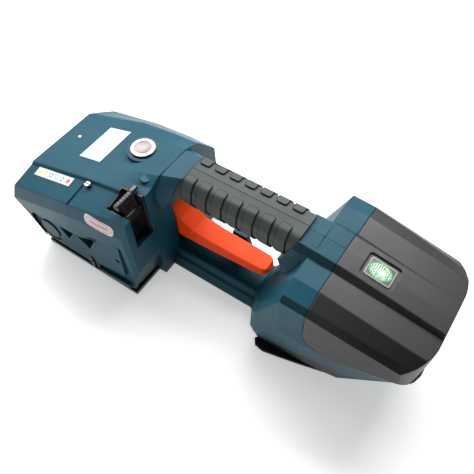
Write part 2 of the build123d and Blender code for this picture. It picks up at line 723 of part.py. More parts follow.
@piece
def case_screws():
    """Plain frame screws from the far side, slotted door screws from the near side."""
    frame = [cyl_y(x, z, 1.5, -12.0, 11.5) + cyl_y(x, z, 2.9, -14.6, -12.0)
             for x, z in FRAME_SCREWS]
    door = [cyl_y(x, z, 1.5, 62.5, DOOR_SEAT_Y) + cyl_y(x, z, 2.9, DOOR_SEAT_Y, 71.6)
            - box(x - 0.4, x + 0.4, 71.0, 72, z - 2, z + 2) for x, z in DOOR_SCREWS]
    return frame + door


@piece
def door_latch():
    """Knob with a finger bar outside and a catch inside."""
    x, z = KNOB
    return (cyl_y(x, z, 2.5, 63.0, 69.05) + cyl_y(x, z, 6.3, 69.05, 73.2)
            + box(x - 1.5, x + 1.5, 73.2, 75.0, z - 5.4, z + 5.4)
            + box(x - 5.0, x + 2.0, 63.0, 65.4, z - 2.2, z + 2.2))


# ================================================================ start button and deck parts
GASKET_TOP = 117.45
CAP_TOP, CAP_BOTTOM = 118.5, 108.5


@piece
def button_bezel():
    return tube_z(BUTTON_X, 0, 10.6, 7.5, GASKET_TOP, 118.8)


@piece
def bezel_gasket():
    return tube_z(BUTTON_X, 0, 11.2, 7.6, 117.02, GASKET_TOP)


@piece
def button_cap():
    """Dished cap with a stem."""
    return (cyl_z(BUTTON_X, 0, 7.35, CAP_BOTTOM, CAP_TOP)
            - Pos(BUTTON_X, 0, CAP_TOP + 38.0) * Sphere(38.6)
            + cyl_z(BUTTON_X, 0, 2.0, 103.0, CAP_BOTTOM))


@piece
def switch_body():
    return (cyl_z(BUTTON_X, 0, 7.4, 92.0, 99.4)
            + box(BUTTON_X - 11, BUTTON_X + 11, -9, 9, 88.0, 92.0))


@piece
def button_spring():
    return tube_z(BUTTON_X, 0, 3.6, 2.7, 99.45, 108.45)


@piece
def status_lens():
    return cyl_z(LENS_X, LENS_Y, 1.65, 86.0, deck_z(LENS_X) + 0.9)


@piece
def guide_screw():
    x, y = GUIDE_SCREW
    return (cyl_z(x, y, 1.5, 94.0, 106.0) + cyl_z(x, y, 2.7, 106.0, 107.7)
            - box(x - 3, x + 3, y - 0.4, y + 0.4, 107.0, 109))


# ---------------------------------------------------------------- skins on the head surface
def conform(region, offset):
    """Skin between the head form and a shifted copy of it, within a region."""
    return ((Pos(*offset) * HEAD_FORM) & region) - HEAD_FORM


def biggest(shape):
    return sorted(shape.solids(), key=lambda solid: solid.volume)[-1]


@piece
def name_plate():
    outline = [(313.2, -16.4), (287.6, -17.0), (286.4, 25.4), (312.8, 25.2)]
    return biggest(conform(prism_xy(outline, 90, 115), (0, 0, 0.4)))


@piece
def icon_label():
    outline = [(343.4, 48.6), (296.2, 48.2), (296.4, 56.2), (343.6, 56.6)]
    return biggest(conform(prism_xy(outline, 80, 112), (0, 0.1, 0.35)))


@piece
def oval_label():
    # fraction of the half length, height above the centre
    outline = [(-0.93, 3.4), (-1.0, 1.2), (-1.0, -1.4), (-0.93, -3.8), (-0.78, -5.0),
               (0.78, -4.4), (0.93, -3.2), (1.0, -1.0), (1.0, 1.6), (0.93, 4.0),
               (0.78, 5.2), (-0.78, 4.6)]
    region = prism_xz([(249.0 + 15.6 * u, 95.4 + v) for u, v in outline], 60, 80)
    return biggest(conform(region, (0, 0.35, 0.12)))


@piece
def vent_cover():
    cover = conform(box(262.0, 320.0, -62, -45, 20.0, 50.0), (0, -1.8, 0))
    for i in range(6):
        x = 268.0 + 8.2 * i
        cover = cover - box(x, x + 4.0, -62, -54.6, 26.0, 44.0)
    return biggest(cover)


# ================================================================ release lever
@piece
def lever_pocket():
    """Open-topped liner, trimmed to the head surface."""
    outer = prism_xz(LEVER_POCKET, LEVER_Y0 + 0.1, LEVER_Y1 - 0.1)
    inner = prism_xz([(210, 76), (229.9, 72.2), (245.3, 100.6), (245.3, 136), (200, 136),
                      (200, 76)], 41.2, 58.8)
    liner = ((outer - inner) & HEAD_FORM
             & prism_xy([(224.0, 30), (224.0, 68), (260, 68), (260, 30)], 60, 125))
    return (liner - CORNER_TRIM - box(200, 260, 58.7, 62, 104.5, 130)
            - cyl_y(LEVER_X, LEVER_Z, 2.5, 30, 70))


@piece
def release_lever():
    """Hub and arm with a ribbed cross bar on top."""
    lever = (cyl_y(LEVER_X, LEVER_Z, 5.2, 43.0, 57.0)
             + prism_xz([(229.0, 101), (230.2, 114.5), (232.0, 118.0), (235.6, 118.0),
                         (236.4, 114.5), (235.0, 101)], 43.0, 57.0))
    cross_bar = prism_xz([(230.6, 114.8), (231.6, 118.6), (233.4, 119.6), (235.6, 118.8),
                          (236.6, 114.8)], 42.0, 61.6)
    cross_bar = soften(cross_bar, [1.0, 0.6],
                       lambda s: [e for e in s.edges() if e.center().Z > 115])
    lever = lever + cross_bar + prism_xz([(231.0, 118.3), (232.2, 120.0), (235.2, 119.6),
                                          (236.0, 118.3)], 36.4, 43.0)
    for i in range(6):
        y = 44.4 + 3.0 * i
        lever = lever - box(228.0, 240.0, y, y + 0.9, 119.0, 121)
    return lever - cyl_y(LEVER_X, LEVER_Z, 2.5, 30, 70)


# ================================================================ trigger
TRIGGER_SIDE = [                                                    # x, z
    (127.0, 41.0), (129.4, 45.4), (140.0, 45.6), (184.0, 46.6), (205.0, 49.0), (219.0, 57.0),
    (226.5, 68.0), (229.5, 73.0), (236.0, 72.0), (238.0, 60.0), (246.0, 52.0), (246.0, 40.0),
    (238.0, 37.6), (220.0, 33.0), (180.0, 33.6), (140.0, 35.0), (129.4, 37.2)]
TRIGGER_PLAN = [(120.0, -8.4), (150.0, -8.8), (200.0, -10.0), (248.0, -10.6),   # x, y
                (248.0, 10.6), (200.0, 10.0), (150.0, 8.8), (120.0, 8.4)]
TIP_R = 8.4
TRIGGER_PIN_R = 3.0
CHEEK_INNER_Y, CHEEK_OUTER_Y = 11.4, 19.0


@piece
def trigger():
    body = prism_xz(TRIGGER_SIDE, -12.0, 12.0)
    plan = soften(prism_xy(TRIGGER_PLAN, 20, 90), [6.0],
                  lambda s: [e for e in s.edges().filter_by(Axis.Z) if e.center().X < 125])
    arc = [(127.0 + TIP_R - TIP_R * math.cos(a * math.pi / 16),
            TIP_R * math.sin(a * math.pi / 16)) for a in range(-8, 9)]
    body = body & plan & prism_xy(arc + [(260, 12), (260, -12)], 20, 90)
    body = soften(body, [2.4, 1.6, 1.0],
                  lambda s: [e for e in s.edges() if e.length > 3 and abs(e.center().Y) > 7
                             and abs(e.tangent_at(0.5).Y) < 0.4])
    # pivot bore, then the hollow underside
    return (body - cyl_y(TRIGGER_X, TRIGGER_Z, TRIGGER_PIN_R + 0.05, -20, 20)
            - prism_xz([(150.0, 30.0), (150.0, 41.5), (184.0, 42.4), (206.0, 44.0),
                        (214.0, 46.0), (214.0, 30.0)], -6.4, 6.4))


@piece
def trigger_bracket():
    return (box(232, 246, -CHEEK_OUTER_Y, -CHEEK_INNER_Y, BASE_T, 52.0)
            + box(232, 246, CHEEK_INNER_Y, CHEEK_OUTER_Y, BASE_T, 52.0)
            - cyl_y(TRIGGER_X, TRIGGER_Z, TRIGGER_PIN_R, -30, 30))


@piece
def trigger_spring():
    return tube_z(229.0, 0, 3.6, 2.7, 4.3, 33.7)


@piece
def pivot_pins():
    return [cyl_y(LEVER_X, LEVER_Z, 2.45, 39.7, 60.3),
            cyl_y(TRIGGER_X, TRIGGER_Z, TRIGGER_PIN_R, -CHEEK_OUTER_Y, CHEEK_OUTER_Y),
            cyl_y(ROCKER_X, ROCKER_Z, SHAFT_R, 27.4, 43.0)]


# ================================================================ feed mechanism
MOTOR_SHAFT_R = 2.0
WHEEL_TEETH = 44


def feed_cyl(radius, y0, y1):
    return cyl_y(FEED_X, FEED_Z, radius, y0, y1)


def feed_ring(circle_r, radius, y0, y1, start, step):
    """Cylinders spaced round the feed axis, angles in degrees."""
    return [cyl_y(FEED_X + circle_r * math.cos(math.radians(a)),
                  FEED_Z + circle_r * math.sin(math.radians(a)), radius, y0, y1)
            for a in range(start, 360, step)]


@piece
def mechanism_plate():
    plate = box(243.0, 341.0, 28.0, 32.0, BASE_T, 74.0) + box(243.0, 341.0, 20.0, 32.0, BASE_T, 8.0)
    plate = (plate - cyl_y(FEED_X, FEED_Z + 1.5, 20.5, 10, 40)
             - box(334.0, 343.0, 17.0, 27.4, 0, 110) - box(322, 345, 20, 27.9, 0, 9))
    plate = plate & prism_xz([(243, 0), (340, 0), (348, 40), (346, 74), (300, 74), (243, 74)],
                             0, 60)
    return (plate + cyl_y(ROCKER_X, ROCKER_Z, 7.0, 27.4, 34.0)
            - cyl_y(ROCKER_X, ROCKER_Z, SHAFT_R, 10, 40))


@piece
def rocker_arm():
    arm = prism_xz([(326.0, 48.0), (341.0, 47.0), (341.5, 34.0), (334.0, 31.0), (312.0, 12.0),
                    (300.0, 7.6), (288.0, 12.0), (283.0, 24.0), (288.0, 38.0), (304.0, 43.0)],
                   37.0, 42.0)
    arm = soften(arm, [3.0, 2.0], edges_along_y)
    return arm - cyl_y(ROCKER_X, ROCKER_Z, 4.05, 30, 50) - feed_cyl(SHAFT_BORE_R, 30, 50)


@piece
def gearbox_housing():
    """Cup with its floor on the near side and eight grooves round the outside."""
    cup = (tube_y(FEED_X, FEED_Z, 16.0, 13.6, 8.0, 36.9)
           + (feed_cyl(16.0, 34.4, 36.9) - feed_cyl(SHAFT_BORE_R, 30, 40))
           - feed_cyl(13.6, 7, 34.4))
    for groove in feed_ring(16.4, 1.3, 2, 42, 0, 45):
        cup = cup - groove
    return cup


@piece
def motor_can():
    """Tube with two pierced end discs and six holes in the far end."""
    bore_r = MOTOR_SHAFT_R + 0.05
    can = (tube_y(FEED_X, FEED_Z, 15.6, 14.2, -40.0, 7.9)
           + (feed_cyl(14.2, -40.0, -38.2) - feed_cyl(bore_r, -50, 0))
           + (feed_cyl(14.2, 6.2, 7.9) - feed_cyl(bore_r, 0, 10)))
    for hole in feed_ring(9, 2.2, -42, -36, 0, 60):
        can = can - hole
    return can


@piece
def motor_rotor():
    rotor = (feed_cyl(MOTOR_SHAFT_R, -42.0, 14.0) + feed_cyl(11.0, -28.0, 0.0)
             + feed_cyl(6.0, 1.0, 5.0))
    for groove in feed_ring(11.4, 1.2, -34, 6, 0, 60):
        rotor = rotor - groove
    return rotor + feed_cyl(3.2, 9.0, 14.0)


@piece
def planet_gears():
    return feed_ring(8.3, 4.6, 9.4, 14.0, 90, 120)


@piece
def feed_wheel():
    """Toothed wheel on its shaft, with a disc near the far end and a near-face recess."""
    rim = []
    for i in range(WHEEL_TEETH):
        for offset, radius in ((0.0, FEED_R - 0.55), (0.5, FEED_R)):
            angle = 2 * math.pi * (i + offset) / WHEEL_TEETH
            rim.append((FEED_X + radius * math.cos(angle), FEED_Z + radius * math.sin(angle)))
    wheel = prism_xz(rim, 46.6, 62.6) + feed_cyl(SHAFT_R, 16.0, 64.4) + feed_cyl(12.6, 18.0, 21.0)
    return wheel - (feed_cyl(12.0, 60.6, 70.0) - feed_cyl(6.0, 60.0, 70))


# ================================================================ welding unit and cutter
@piece
def weld_block():
    block = (box(246.0, 266.0, 45.6, 58.6, 12.4, 46.0) + box(248.0, 264.0, 47.0, 57.0, 9.0, 12.4)
             - cyl_y(ECC_X, ECC_Z, 9.3, 40, 70))
    block = soften(block, [1.5], lambda s: [e for e in edges_along_y(s) if e.center().Z > 40])
    # bearing ring on the far side and the bridge that carries it
    bearing_r = 8.6
    x0, x1 = ECC_X - bearing_r, ECC_X + bearing_r
    return block + (tube_y(ECC_X, ECC_Z, bearing_r, SHAFT_BORE_R, 33.6, 38.0)
                    + box(x0, x1, 38.05, 45.6, 42.6, 46.0)
                    + box(x0, x1, 33.6, 38.05, 41.0, 46.0)
                    - cyl_y(ECC_X, ECC_Z, SHAFT_BORE_R, 30, 40))


@piece
def weld_foot():
    return box(246.0, 266.0, 46.6, 64.0, 7.7, 12.4) - box(248.0, 264.0, 47.0, 57.0, 9.0, 13)


@piece
def weld_eccentric():
    return cyl_y(ECC_X, ECC_Z, SHAFT_R, 33.4, 63.0) + cyl_y(ECC_X + 1.0, ECC_Z, 8.1, 46.2, 58.0)


@piece
def cutter_blade():
    return prism_xz([(271.2, 7.8), (273.6, 9.6), (273.6, 34.0), (271.2, 34.0)], 46.6, 62.4)


@piece
def cutter_guide():
    return (box(268.6, 276.2, 32.05, 46.4, 18.0, 32.0) - box(271.0, 273.8, 40.0, 47.0, 10.0, 50.0)
            + box(268.6, 276.2, 38.0, 46.4, 18.0, 20.0) - box(270.8, 274.0, 46.0, 47, 0, 60))


@piece
def cutter_spring():
    return tube_z(272.4, 55.0, 2.6, 1.9, 34.1, 45.1)


for build_piece in PIECES:
    save(build_piece.__name__, build_piece())
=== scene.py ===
"""The tool lies along x with its battery at low x and its head at high x. The strap side
faces +y, the far side -y, and z = 0 is the floor. Units are metres.
"""
import json
import math

import bmesh
import bpy
from mathutils import Matrix, Vector


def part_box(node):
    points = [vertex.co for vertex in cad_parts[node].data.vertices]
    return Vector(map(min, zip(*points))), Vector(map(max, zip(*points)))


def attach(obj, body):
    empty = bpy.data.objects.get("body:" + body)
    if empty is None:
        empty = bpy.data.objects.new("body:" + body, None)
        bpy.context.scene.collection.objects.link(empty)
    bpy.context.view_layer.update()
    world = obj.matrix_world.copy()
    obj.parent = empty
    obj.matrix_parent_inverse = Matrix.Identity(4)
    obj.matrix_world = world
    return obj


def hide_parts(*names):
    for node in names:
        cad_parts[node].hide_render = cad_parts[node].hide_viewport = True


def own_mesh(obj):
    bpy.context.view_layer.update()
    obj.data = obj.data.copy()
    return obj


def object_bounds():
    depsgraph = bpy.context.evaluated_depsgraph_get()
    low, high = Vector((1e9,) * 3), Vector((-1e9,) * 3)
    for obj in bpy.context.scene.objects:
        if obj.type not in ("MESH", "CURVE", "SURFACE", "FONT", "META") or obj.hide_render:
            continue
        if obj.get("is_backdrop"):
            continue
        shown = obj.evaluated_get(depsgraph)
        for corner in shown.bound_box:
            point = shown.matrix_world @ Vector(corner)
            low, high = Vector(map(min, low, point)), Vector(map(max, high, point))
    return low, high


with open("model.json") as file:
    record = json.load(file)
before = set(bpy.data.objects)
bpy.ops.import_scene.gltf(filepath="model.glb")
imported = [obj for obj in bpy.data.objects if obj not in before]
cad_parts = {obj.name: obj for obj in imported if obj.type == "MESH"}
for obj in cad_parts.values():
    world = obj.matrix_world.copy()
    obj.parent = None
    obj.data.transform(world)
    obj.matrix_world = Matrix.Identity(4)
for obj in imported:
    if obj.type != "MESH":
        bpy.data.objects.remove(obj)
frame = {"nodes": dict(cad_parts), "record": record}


def plain(value):
    """Turn bounds of any shape into values that json can write."""
    if isinstance(value, dict):
        return {key: plain(item) for key, item in value.items()}
    if isinstance(value, (list, tuple, Vector)):
        return [plain(item) for item in value]
    if hasattr(value, "tolist"):
        return plain(value.tolist())
    # anything that isn't a number becomes text
    try:
        return round(float(value), 6)
    except (TypeError, ValueError):
        return str(value)


SIZE = {"at_load": plain(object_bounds())}

NODES = frame["nodes"]
ORIGIN_X = 0.287           # the frame origin, measured along x from the battery end
WHITE = (1.0, 1.0, 1.0, 1.0)


def at(x):
    """Frame x of a place measured from the battery end."""
    return x - ORIGIN_X


# ------------------------------------------------------------------ shader building
class Graph:
    """Short ways to add shader nodes to one material. Values may be numbers or sockets."""

    def __init__(self, material):
        self.tree = material.node_tree
        self.shader = next(n for n in self.tree.nodes if n.type == "BSDF_PRINCIPLED")

    def fill(self, node, inputs):
        for key, value in inputs.items():
            if isinstance(value, bpy.types.NodeSocket):
                self.tree.links.new(value, node.inputs[key])
            else:
                node.inputs[key].default_value = value

    def node(self, kind, inputs=None, **settings):
        node = self.tree.nodes.new("ShaderNode" + kind)
        for key, value in settings.items():
            setattr(node, key, value)
        self.fill(node, inputs or {})
        return node

    def coords(self, output="Object"):
        return self.node("TexCoord").outputs[output]

    def split(self, output="Object"):
        parts = self.node("SeparateXYZ", {"Vector": self.coords(output)}).outputs
        return parts["X"], parts["Y"], parts["Z"]

    def noise(self, coord, scale, detail, rough, distortion=0.0):
        return self.node("TexNoise", {
            "Scale": scale, "Detail": detail, "Roughness": rough, "Distortion": distortion,
            "Vector": coord}).outputs["Fac"]

    def ramp(self, value, start, end):
        """Black up to start, white from end."""
        node = self.node("ValToRGB", {"Fac": value})
        node.color_ramp.elements[0].position = start
        node.color_ramp.elements[1].position = end
        return node.outputs["Color"]

    def mix(self, factor, under, over):
        # 0, 6, 7 and 2 are the colour sockets of the Mix node
        return self.node("Mix", {0: factor, 6: under, 7: over}, data_type="RGBA").outputs[2]

    def math(self, operation, first, second=0.0, third=None, clamp=False):
        inputs = {0: first, 1: second}
        if third is not None:
            inputs[2] = third
        return self.node("Math", inputs, operation=operation, use_clamp=clamp).outputs[0]

    def times(self, first, *others):
        for other in others:
            first = self.math("MULTIPLY", first, other)
        return first

    def invert(self, value, clamp=False):
        return self.math("SUBTRACT", 1.0, value, clamp=clamp)

    def hypot(self, across, along):
        squares = self.math("ADD", self.times(across, across), self.times(along, along))
        return self.math("SQRT", squares)

    def wrap(self, value, half):
        """Repeat the value between -half and half."""
        return self.math("WRAP", value, half, -half)

    def mapped(self, value, source, target=(0.0, 1.0)):
        return self.node("MapRange", {
            "Value": value, "From Min": source[0], "From Max": source[1],
            "To Min": target[0], "To Max": target[1]}).outputs["Result"]

    def band(self, value, low, high, soft=0.00012):
        """1 between low and high, 0 outside."""
        return self.times(self.mapped(value, (low - soft, low + soft)),
                          self.mapped(value, (high - soft, high + soft), (1.0, 0.0)))

    def ellipse(self, across, along, middle, radii, soft):
        """1 inside the ellipse, 0 outside."""
        ratios = [self.math("DIVIDE", self.math("SUBTRACT", place, centre), radius)
                  for place, centre, radius in zip((across, along), middle, radii)]
        return self.mapped(self.hypot(*ratios), (1.0 - soft, 1.0 + soft), (1.0, 0.0))

    def softened(self, radius):
        """Normal rounded over the edges."""
        return self.node("Bevel", {"Radius": radius}, samples=4).outputs["Normal"]

    def base_colour(self):
        return self.shader.inputs["Base Color"].links[0].from_socket


def new_material(name):
    material = bpy.data.materials.new(name)
    material.use_nodes = True
    tree = material.node_tree
    tree.nodes.clear()
    output = tree.nodes.new("ShaderNodeOutputMaterial")
    shader = tree.nodes.new("ShaderNodeBsdfPrincipled")
    tree.links.new(shader.outputs["BSDF"], output.inputs["Surface"])
    return material, Graph(material)


def lifted(colour, gain, offset=0.0):
    return tuple(min(1.0, c * gain + offset) for c in colour) + (1.0,)


def edge_mask(g, radius):
    """Bright where the softened normal turns away from the true one."""
    dot = g.node("VectorMath", {
        0: g.softened(radius), 1: g.node("NewGeometry").outputs["Normal"]},
        operation="DOT_PRODUCT").outputs["Value"]
    return g.ramp(g.invert(dot, clamp=True), start=0.015, end=0.16)


def surface(name, colour, *, rough, vary, grain, bump, wear, wear_colour=None, dust=0.15,
            metallic=0.0, edge=0.00045, specular=0.5, coat=0.0, cloud=28.0, stretch=None):
    """Moulded or metal surface.

    vary, cloud: strength and scale of the colour clouding; dust: handling marks;
    wear: bright edges; grain, bump: scale and depth of the fine relief;
    stretch: grain scale along each axis; edge: rounding of edges.
    """
    material, g = new_material(name)
    coord = g.coords()
    clouding = g.ramp(g.noise(coord, scale=cloud, detail=5.0, rough=0.55), start=0.3, end=0.7)
    base = g.mix(clouding, lifted(colour, 1.0 - vary), lifted(colour, 1.0 + vary, 0.003 * vary))
    if dust > 0:
        marks = g.noise(coord, scale=90.0, detail=8.0, rough=0.7, distortion=0.4)
        marks = g.times(g.ramp(marks, start=0.55, end=0.85), dust)
        base = g.mix(marks, base, lifted(colour, gain=1.3, offset=0.03))
    if wear > 0:
        broken = g.noise(coord, scale=260.0, detail=6.0, rough=0.7)
        worn = g.times(edge_mask(g, edge * 1.6), g.ramp(broken, start=0.42, end=0.66))
        worn = g.math("MULTIPLY", worn, wear, clamp=True)
        bare = wear_colour + (1.0,) if wear_colour else lifted(colour, gain=1.9, offset=0.05)
        base = g.mix(worn, base, bare)
    patches = g.noise(coord, scale=60.0, detail=6.0, rough=0.6)
    grain_coord = coord
    if stretch:
        grain_coord = g.node("Mapping", {"Scale": stretch, "Vector": coord}).outputs["Vector"]
    relief = g.node("Bump", {
        "Strength": bump, "Distance": 0.0002, "Normal": g.softened(edge),
        "Height": g.noise(grain_coord, scale=grain, detail=2.0, rough=0.6)})
    g.fill(g.shader, {
        "Base Color": base,
        "Roughness": g.mapped(patches, (0.0, 1.0), (rough - 0.07, rough + 0.08)),
        "Metallic": metallic,
        "Specular IOR Level": specular,
        "Coat Weight": coat,
        "Coat Roughness": 0.12,
        "Normal": relief.outputs["Normal"]})
    return material


def ink(name, colour, rough=0.35, vary=0.05, cloud=28.0):
    return surface(name, colour, rough=rough, vary=vary, grain=500.0, bump=0.02, wear=0.0,
                   edge=0.00005, cloud=cloud)


# ------------------------------------------------------------------ materials
LOOKS = {
    "teal": surface("teal_shell", (0.0050, 0.063, 0.096), rough=0.46, vary=0.10, grain=2300.0,
                    bump=0.22, wear=0.30, dust=0.02, specular=0.17, edge=0.0014),
    "black": surface("black_moulding", (0.006, 0.006, 0.0065), rough=0.30, vary=0.2,
                     grain=1900.0, bump=0.10, wear=0.35, dust=0.04, edge=0.0007),
    "pack": surface("pack_shell", (0.0165, 0.0160, 0.0162), rough=0.40, vary=0.10,
                    grain=2600.0, bump=0.25, wear=0.25, dust=0.04, specular=0.42, edge=0.0014),
    "grip": surface("grip_rubber", (0.060, 0.069, 0.062), rough=0.62, vary=0.14,
                    grain=1500.0, bump=0.35, wear=0.35, wear_colour=(0.12, 0.125, 0.115),
                    dust=0.35, specular=0.3),
    "orange": surface("orange_lever", (0.88, 0.060, 0.001), rough=0.42, vary=0.06,
                      grain=2200.0, bump=0.10, wear=0.25, wear_colour=(0.95, 0.22, 0.05),
                      dust=0.0, specular=0.12, edge=0.0012),
    "steel": surface("ground_steel", (0.42, 0.42, 0.43), rough=0.32, metallic=1.0, vary=0.14,
                     grain=900.0, bump=0.10, wear=0.2, dust=0.1, stretch=(1.0, 14.0, 1.0)),
    "blackened": surface("blackened_steel", (0.006, 0.006, 0.006), rough=0.34, metallic=0.1,
                         vary=0.25, grain=1200.0, bump=0.12, wear=0.5,
                         wear_colour=(0.16, 0.15, 0.14), dust=0.05),
    "chrome": surface("bezel_metal", (0.165, 0.163, 0.168), rough=0.22, metallic=1.0,
                      vary=0.04, grain=1500.0, bump=0.03, wear=0.0, dust=0.03,
                      stretch=(20.0, 1.0, 1.0)),
    "cap": surface("button_metal", (0.120, 0.104, 0.100), rough=0.30, metallic=0.9,
                   vary=0.05, grain=1500.0, bump=0.03, wear=0.0, dust=0.04),
    "alu": surface("cast_aluminium", (0.40, 0.41, 0.43), rough=0.5, metallic=1.0, vary=0.15,
                   grain=900.0, bump=0.35, wear=0.2, dust=0.2),
    "label": surface("label_film", (0.66, 0.67, 0.68), rough=0.30, vary=0.02, grain=600.0,
                     bump=0.02, wear=0.0, dust=0.05, edge=0.0001),
    "green": surface("badge_film", (0.62, 0.66, 0.62), rough=0.26, vary=0.03, grain=600.0,
                     bump=0.02, wear=0.0, dust=0.03, edge=0.0001),
    "board": surface("circuit_board", (0.01, 0.09, 0.03), rough=0.35, vary=0.2, grain=400.0,
                     bump=0.05, wear=0.0),
    "cellwrap": surface("cell_sleeve", (0.03, 0.12, 0.36), rough=0.3, vary=0.08,
                        grain=500.0, bump=0.03, wear=0.0),
    "brass": surface("contact_metal", (0.62, 0.47, 0.20), rough=0.28, metallic=1.0, vary=0.1,
                     grain=700.0, bump=0.05, wear=0.1),
    "chin": surface("chin_guard", (0.030, 0.024, 0.021), rough=0.5, vary=0.25, grain=1500.0,
                    bump=0.3, wear=0.5, dust=0.25),
    "ink_red": ink("ink_red", (0.62, 0.06, 0.06)),
    "ink_yellow": ink("ink_yellow", (0.80, 0.60, 0.08)),
    "ink_blue": ink("ink_blue", (0.06, 0.32, 0.62)),
    "ink_green": ink("ink_green", (0.03, 0.36, 0.12), rough=0.32, vary=0.25, cloud=160.0),
    "ink_grey": ink("ink_grey", (0.30, 0.31, 0.32), rough=0.4),
    "lever": surface("lever_gloss", (0.010, 0.010, 0.011), rough=0.26, vary=0.15,
                     grain=1500.0, bump=0.05, wear=0.25, dust=0.0, specular=0.6, coat=0.15,
                     edge=0.0007),
    "fitting": surface("plated_screw", (0.17, 0.17, 0.18), rough=0.25, metallic=1.0,
                       vary=0.1, grain=900.0, bump=0.05, wear=0.1, dust=0.05),
}

# pieces that don't take the look named by their material slot
SPECIAL = {"chin_guard": "chin", "release_lever": "lever", "guide_screw": "fitting",
           "case_screws": "fitting"}


def dress(node_name, material):
    for slot in NODES[node_name].material_slots:
        slot.material = material


def dress_all():
    slots = {part["node"]: part["material_slot"] for part in frame["record"]["subparts"]}
    for name, piece in NODES.items():
        material = LOOKS[SPECIAL.get(name, slots.get(name, "black"))]
        if not piece.material_slots:
            piece.data.materials.append(material)
        dress(name, material)


dress_all()


# ------------------------------------------------------------------ marks and shading by place
def paint(material, marks):
    """Lay (mask, colour) marks over the base colour in turn; a mask takes g, x, y, z."""
    g = Graph(material)
    base = g.base_colour()
    x, y, z = g.split()
    for mask, colour in marks:
        base = g.mix(mask(g, x, y, z), base, colour + (1.0,))
    g.fill(g.shader, {"Base Color": base})
    return material


def shade(material, factor):
    """Multiply the base colour by a value between 0 and 1."""
    g = Graph(material)
    scaled = g.node("VectorMath", {0: g.base_colour(), "Scale": factor(g)}, operation="SCALE")
    g.fill(g.shader, {"Base Color": scaled.outputs["Vector"]})


def copy_look(key, name):
    material = LOOKS[key].copy()
    material.name = name
    return material


def oval(middle, radii, soft=0.04, upright=False):
    """Mask of an ellipse on x and y, or on x and z if upright; x from the battery end."""
    centre = (at(middle[0]), middle[1])
    return lambda g, x, y, z: g.ellipse(x, z if upright else y, centre, radii, soft)


# raised pads along the grip
PAD_FIRST = 0.1115         # middle of a pad in x
PAD_PITCH = 0.0143
PAD_HALF = 0.0048          # half width
PAD_ROUND = 0.0022         # corner radius
PAD_END = 0.0070           # rounded end, from the centre seam
PAD_RANGE = (at(0.1045), at(0.2045))
PAD_HEIGHTS = (0.096, 0.2)
PAD_LINE = (0.00030, 0.00062)  # where the line starts to fade and where it is gone


def pad_outline(g, x, y, z):
    """Painted shade in the groove round each pad: rounded end near the centre seam, open
    towards the lower edge.
    """
    across = g.wrap(g.math("SUBTRACT", x, at(PAD_FIRST)), 0.5 * PAD_PITCH)
    from_seam = g.math("ABSOLUTE", y)
    over_x = g.math("SUBTRACT", g.math("ABSOLUTE", across), PAD_HALF - PAD_ROUND)
    over_y = g.math("SUBTRACT", PAD_END + PAD_ROUND, from_seam)
    outside = g.hypot(g.math("MAXIMUM", over_x, 0.0), g.math("MAXIMUM", over_y, 0.0))
    inside = g.math("MINIMUM", g.math("MAXIMUM", over_x, over_y), 0.0)
    distance = g.math("SUBTRACT", g.math("ADD", outside, inside), PAD_ROUND)
    line = g.mapped(g.math("ABSOLUTE", distance), PAD_LINE, (1.0, 0.0))
    region = g.times(g.band(x, *PAD_RANGE), g.band(z, *PAD_HEIGHTS))
    opacity = 0.9
    return g.times(line, region, opacity)


def crevice(g):
    """Painted shade gathered in the recesses, from ambient occlusion."""
    occlusion = g.node("AmbientOcclusion", {"Distance": 0.055}, samples=6).outputs["AO"]
    return g.mapped(occlusion, (0.15, 0.92), (0.42, 1.0))


def steep(g):
    """Painted shade: facets leaning to the strap side kept darker than the flat tops."""
    normal_y = g.split("Normal")[1]
    rising = g.mapped(normal_y, (0.44, 0.54))
    falling = g.mapped(normal_y, (0.84, 0.93), (1.0, 0.0))
    strength = 0.86
    return g.invert(g.times(rising, falling, strength))


def rearward(g):
    """Painted shade: strap-side facets darken towards the battery end."""
    x = g.split()[0]
    facing = g.mapped(g.split("Normal")[1], (0.14, 0.24))
    strength = g.mapped(x, (at(-0.020), at(0.050)), (0.70, 0.10))
    return g.invert(g.times(facing, strength))


def damped(g):
    """Keep the bright lever from colouring everything round it."""
    rays = g.node("LightPath").outputs
    bounced = g.math("MAXIMUM", rays["Is Diffuse Ray"], rays["Is Glossy Ray"])
    strength = 0.85
    return g.invert(g.times(bounced, strength))


def pod_steep(g):
    """The painted facet shade, held to the battery end of the pod."""
    limit = g.mapped(g.split()[0], (at(0.095), at(0.105)), (0.45, 1.0))
    return g.math("MAXIMUM", steep(g), limit)


STERN_START, STERN_PEAK, STERN_FALL_END, STERN_END = 0.0240, 0.060, 0.112, 0.1300
STERN_TOPS = (0.0170, 0.0255, 0.0110)  # band height at start, peak and end of the fall


def stern_band(g, x, y, z):
    """Dark strip along the lower edge of the rear pod."""
    from_rear = g.math("ADD", x, ORIGIN_X)
    top = g.math("MINIMUM",
                 g.mapped(from_rear, (STERN_START, STERN_PEAK), STERN_TOPS[:2]),
                 g.mapped(from_rear, (STERN_PEAK, STERN_FALL_END), STERN_TOPS[1:]))
    below = g.math("LESS_THAN", z, top)
    outer = g.mapped(g.math("ABSOLUTE", y), (0.0300, 0.0304))
    return g.times(below, g.band(from_rear, STERN_START, STERN_END), outer)


CHIN_SLOPE = 0.2917        # lean of the front edge, x per z
CHIN_FOOT = 0.344          # front edge at floor level


def chin_rim(g, x, y, z):
    """Dark wear rim round the front lower corner of the strap side."""
    front = g.math("ADD", g.math("MULTIPLY", z, CHIN_SLOPE), at(CHIN_FOOT))
    behind = g.math("SUBTRACT", front, x)
    return g.times(g.mapped(behind, (0.0090, 0.0094), (1.0, 0.0)),
                   g.mapped(y, (0.0672, 0.0676)),
                   g.mapped(z, (0.0550, 0.0554), (1.0, 0.0)))
